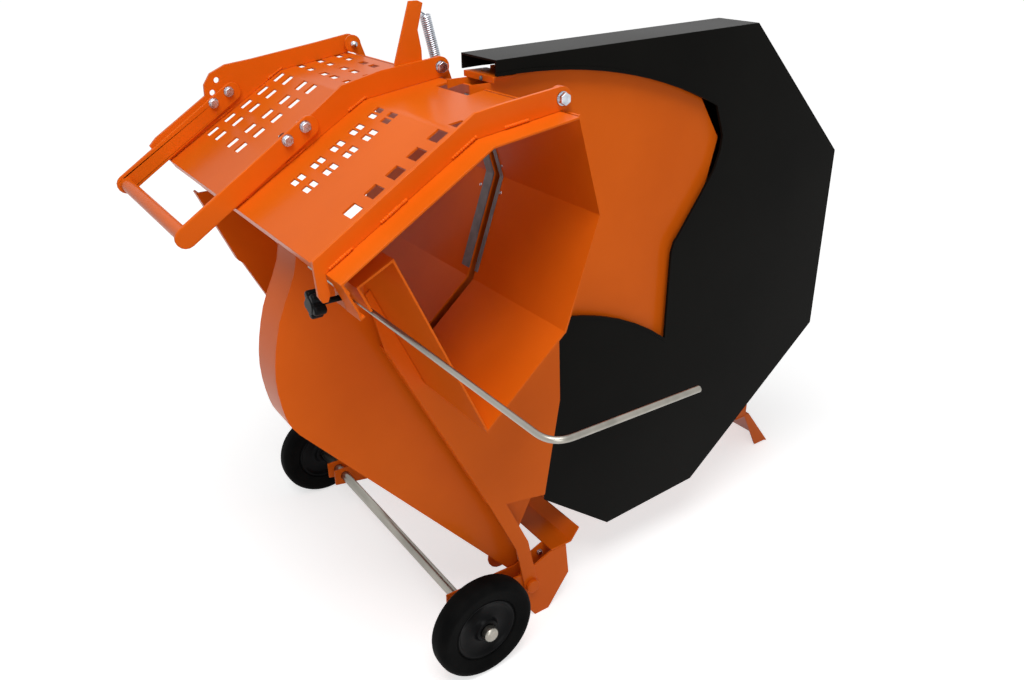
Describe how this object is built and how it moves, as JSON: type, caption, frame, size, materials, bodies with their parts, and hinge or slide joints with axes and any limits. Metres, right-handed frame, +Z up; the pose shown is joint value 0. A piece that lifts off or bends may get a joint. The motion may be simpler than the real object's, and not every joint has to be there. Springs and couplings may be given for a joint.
{
  "type": "firewood circular saw",
  "caption": "Firewood circular saw: log trough on a swinging rocker with a perforated folding hood, a fixed octagonal black blade guard, belt drive and transport wheels.",
  "frame": {"origin": "on the ground under the middle of the machine's box", "axes": "+X runs from the transport wheels to the rear foot, +Y from the operator's side to the drive side, +Z is up"},
  "size_m": [1.3928, 1.2314, 1.147],
  "materials": {
    "orange_powder_coat": "glossy orange powder coat",
    "black_powder_coat": "satin black powder coat",
    "zinc_steel": "bright zinc plating",
    "bright_steel": "ground bright steel",
    "blade_steel": "ground saw steel",
    "cast_grey": "painted grey castings",
    "tyre_rubber": "matt black rubber",
    "belt_rubber": "black belt rubber",
    "black_plastic": "moulded black plastic",
    "slot_steel": "grey painted steel strip",
    "start_green": "moulded green plastic",
    "stop_red": "moulded red plastic"
  },
  "bodies": {
    "frame": {"guard_shell": "black_powder_coat", "guard_cover": "black_powder_coat", "drive_plate": "orange_powder_coat", "bearing_housing": "cast_grey", "bearing_near": "bright_steel", "bearing_far": "bright_steel", "casing_plate": "orange_powder_coat", "belt_casing": "orange_powder_coat", "drive_belt": "belt_rubber", "motor_body": "cast_grey", "motor_fan_cover": "black_plastic", "switch_box": "black_plastic", "power_inlet": "black_plastic", "near_foot_bracket": "orange_powder_coat", "far_foot_bracket": "orange_powder_coat", "front_cross_beam": "orange_powder_coat", "near_side_rail": "orange_powder_coat", "far_side_rail": "orange_powder_coat", "rear_foot": "orange_powder_coat", "motor_stand": "orange_powder_coat", "wheel_axle": "bright_steel", "near_pivot_pin": "orange_powder_coat", "far_pivot_pin": "zinc_steel"},
    "blade": {"saw_blade": "blade_steel", "arbor_shaft": "bright_steel", "arbor_nut": "zinc_steel", "blade_flange_outer": "zinc_steel", "blade_flange_inner": "zinc_steel", "arbor_pulley": "cast_grey"},
    "motor_rotor": {"motor_shaft": "bright_steel", "motor_pulley": "cast_grey", "motor_fan": "black_plastic"},
    "rocker": {"pocket_near_plate": "orange_powder_coat", "pocket_far_plate": "orange_powder_coat", "pocket_rim_strip": "orange_powder_coat", "near_trough": "orange_powder_coat", "far_trough": "orange_powder_coat", "near_arm": "orange_powder_coat", "far_arm": "orange_powder_coat", "slot_strip_near": "slot_steel", "slot_strip_far": "slot_steel", "mouth_tab": "orange_powder_coat", "hinge_bolt_near": "zinc_steel", "hinge_bolt_mid": "zinc_steel", "hinge_bolt_far": "zinc_steel", "hood_spring": "zinc_steel"},
    "hood": {"hood_sheet": "orange_powder_coat", "near_rib": "orange_powder_coat", "mid_rib": "orange_powder_coat", "far_rib": "orange_powder_coat", "spring_post": "orange_powder_coat", "hood_handle": "orange_powder_coat"},
    "stop_rod": {"stop_rod": "bright_steel"},
    "clamp_knob": {"clamp_knob": "black_plastic"},
    "wheel_near": {"near_tyre": "tyre_rubber", "near_hub": "black_plastic"},
    "wheel_far": {"far_tyre": "tyre_rubber", "far_hub": "black_plastic"},
    "start_button": {"start_button": "start_green"},
    "stop_button": {"stop_button": "stop_red"}
  },
  "joints": [
    {"name": "blade_spin", "type": "hinge", "parent": "frame", "child": "blade", "pos_m": [0.09537, 0.00226, 0.608], "axis": [0, 1, 0], "continuous": true},
    {"name": "motor_spin", "type": "hinge", "parent": "frame", "child": "motor_rotor", "pos_m": [0.35537, 0.12226, 0.297], "axis": [0, 1, 0], "continuous": true},
    {"name": "rocker_swing", "type": "hinge", "parent": "frame", "child": "rocker", "pos_m": [-0.19063, 0.00226, 0.087], "axis": [0, 1, 0], "range_deg": [0, 29]},
    {"name": "hood_hinge", "type": "hinge", "parent": "rocker", "child": "hood", "pos_m": [-0.25063, 0.08726, 1.048], "axis": [0, -1, 0], "range_deg": [-78, 0], "deforming": ["hood_spring"]},
    {"name": "stop_slide", "type": "slide", "parent": "rocker", "child": "stop_rod", "axis": [0, -1, 0], "range_m": [-0.02, 0.1]},
    {"name": "knob_turn", "type": "hinge", "parent": "rocker", "child": "clamp_knob", "pos_m": [-0.59613, -0.18274, 0.83], "axis": [1, 0, 0], "continuous": true},
    {"name": "wheel_near_spin", "type": "hinge", "parent": "frame", "child": "wheel_near", "pos_m": [-0.33463, -0.12274, 0.1], "axis": [0, 1, 0], "continuous": true},
    {"name": "wheel_far_spin", "type": "hinge", "parent": "frame", "child": "wheel_far", "pos_m": [-0.33463, 0.58226, 0.1], "axis": [0, 1, 0], "continuous": true},
    {"name": "start_press", "type": "slide", "parent": "frame", "child": "start_button", "axis": [-1, 0, 0], "range_m": [0, 0.004], "stiffness_N_per_m": 300},
    {"name": "stop_press", "type": "slide", "parent": "frame", "child": "stop_button", "axis": [-1, 0, 0], "range_m": [0, 0.004], "stiffness_N_per_m": 300}
  ],
  "couplings": [
    {"joint": "motor_spin", "follows": "blade_spin", "ratio": 1}
  ]
}
